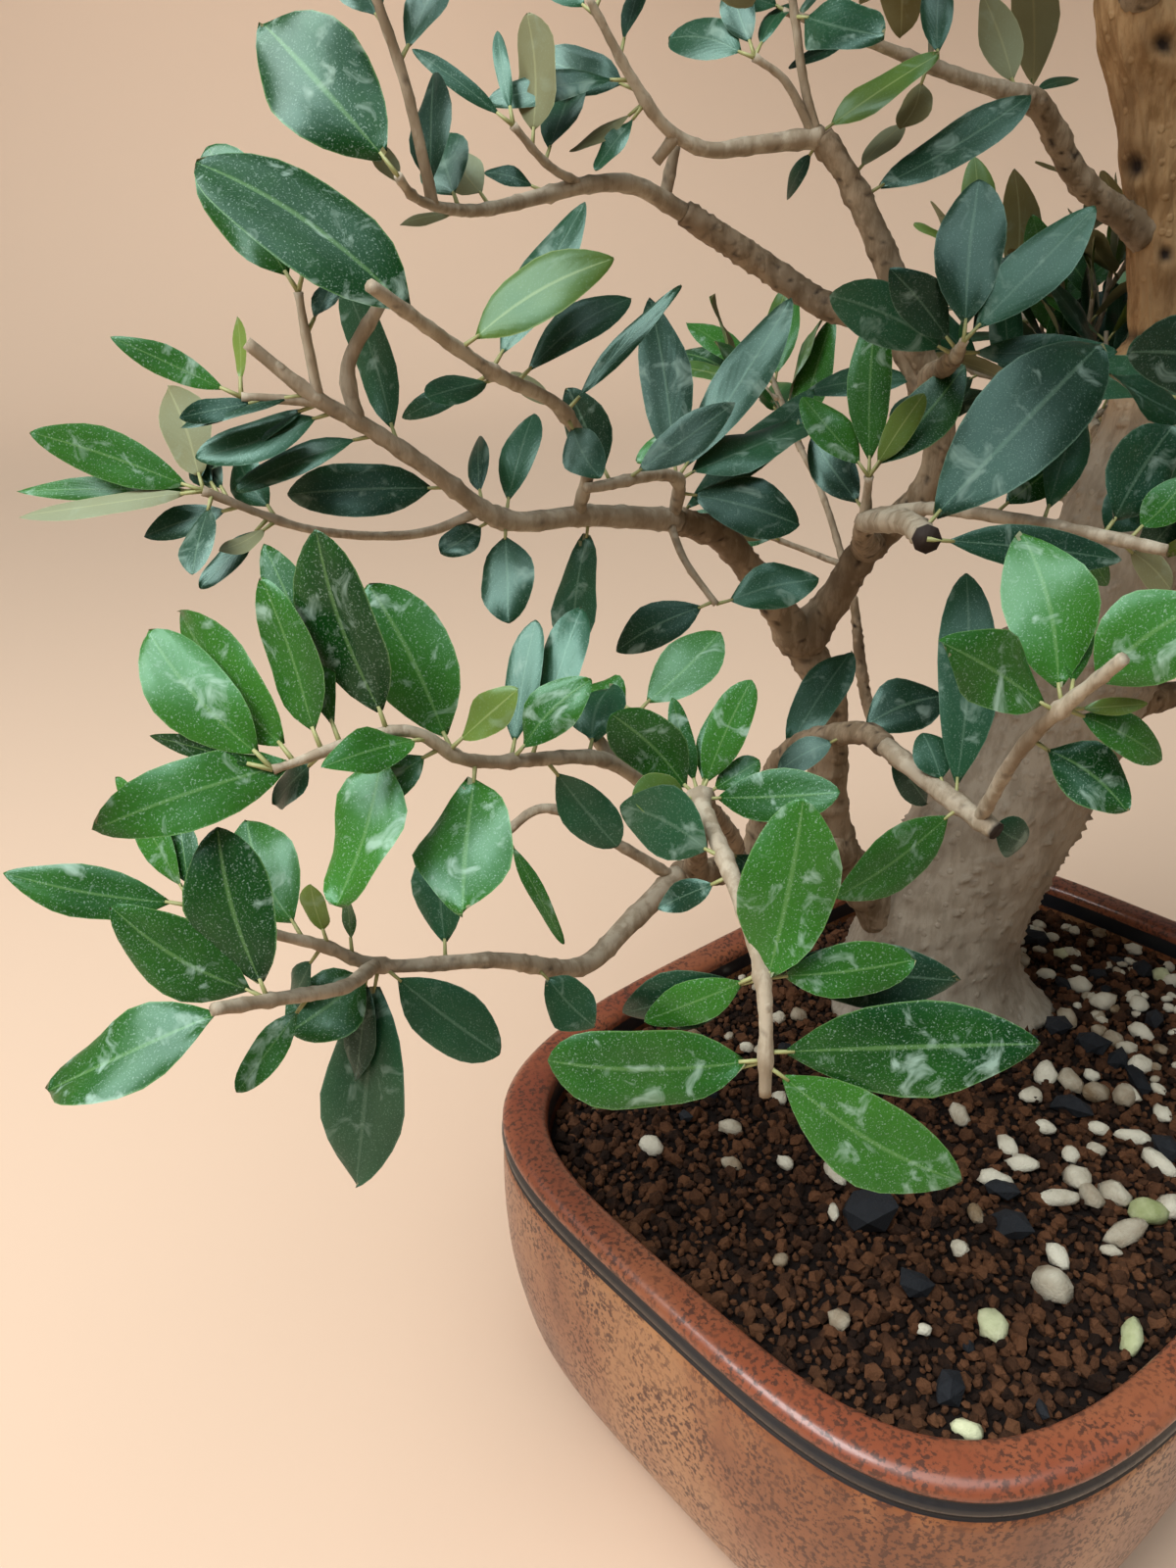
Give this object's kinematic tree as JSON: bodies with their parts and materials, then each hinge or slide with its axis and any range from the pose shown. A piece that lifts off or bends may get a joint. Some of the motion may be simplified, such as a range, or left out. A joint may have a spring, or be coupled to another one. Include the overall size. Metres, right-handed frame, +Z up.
{
  "type": "olive bonsai in a glazed pot",
  "caption": "Small potted olive tree with a thick leaning trunk, pruned boughs and airy leathery foliage in a rounded oblong pot.",
  "frame": {"origin": "middle of the pot's flat underside, where the potted tree stands", "axes": "+Z up, +X along the pot's long side, +Y across it; the picture looks from -X and -Y"},
  "size_m": [0.5503, 0.3423, 0.607],
  "materials": {
    "glaze": "satin gloss, mottled rust brown glaze",
    "soil": "matt baked clay granules with white grains",
    "bark": "matt bark",
    "bough_bark": "matt bark",
    "foliage": "leathery, satin"
  },
  "bodies": {
    "root": {"back_high_bough": "bough_bark", "back_high_spray": "foliage", "back_left_bough": "bough_bark", "back_left_spray": "foliage", "back_low_bough": "bough_bark", "back_low_spray": "foliage", "back_mid_bough": "bough_bark", "back_mid_spray": "foliage", "centre_bough": "bough_bark", "centre_front_bough": "bough_bark", "centre_front_spray": "foliage", "crown_spray": "foliage", "far_left_spray": "foliage", "fork_bough": "bough_bark", "fork_spray": "foliage", "front_bough": "bough_bark", "front_high_bough": "bough_bark", "front_high_spray": "foliage", "front_right_bough": "bough_bark", "front_right_spray": "foliage", "front_spray": "foliage", "left_bough": "bough_bark", "left_spray": "foliage", "low_bough": "bough_bark", "low_left_bough": "bough_bark", "low_left_spray": "foliage", "mid_left_bough": "bough_bark", "mid_left_spray": "foliage", "near_bough": "bough_bark", "near_spray": "foliage", "pot": "glaze", "right_low_bough": "bough_bark", "right_low_spray": "foliage", "right_mid_bough": "bough_bark", "right_mid_spray": "foliage", "soil": "soil", "top_back_bough": "bough_bark", "top_back_spray": "foliage", "top_front_bough": "bough_bark", "top_front_spray": "foliage", "top_left_bough": "bough_bark", "top_left_spray": "foliage", "top_right_bough": "bough_bark", "top_right_spray": "foliage", "top_trunk_spray": "foliage", "trunk": "bark", "upper_left_bough": "bough_bark", "upper_left_spray": "foliage", "upper_trunk_bough": "bough_bark"}
  },
  "joints": []
}
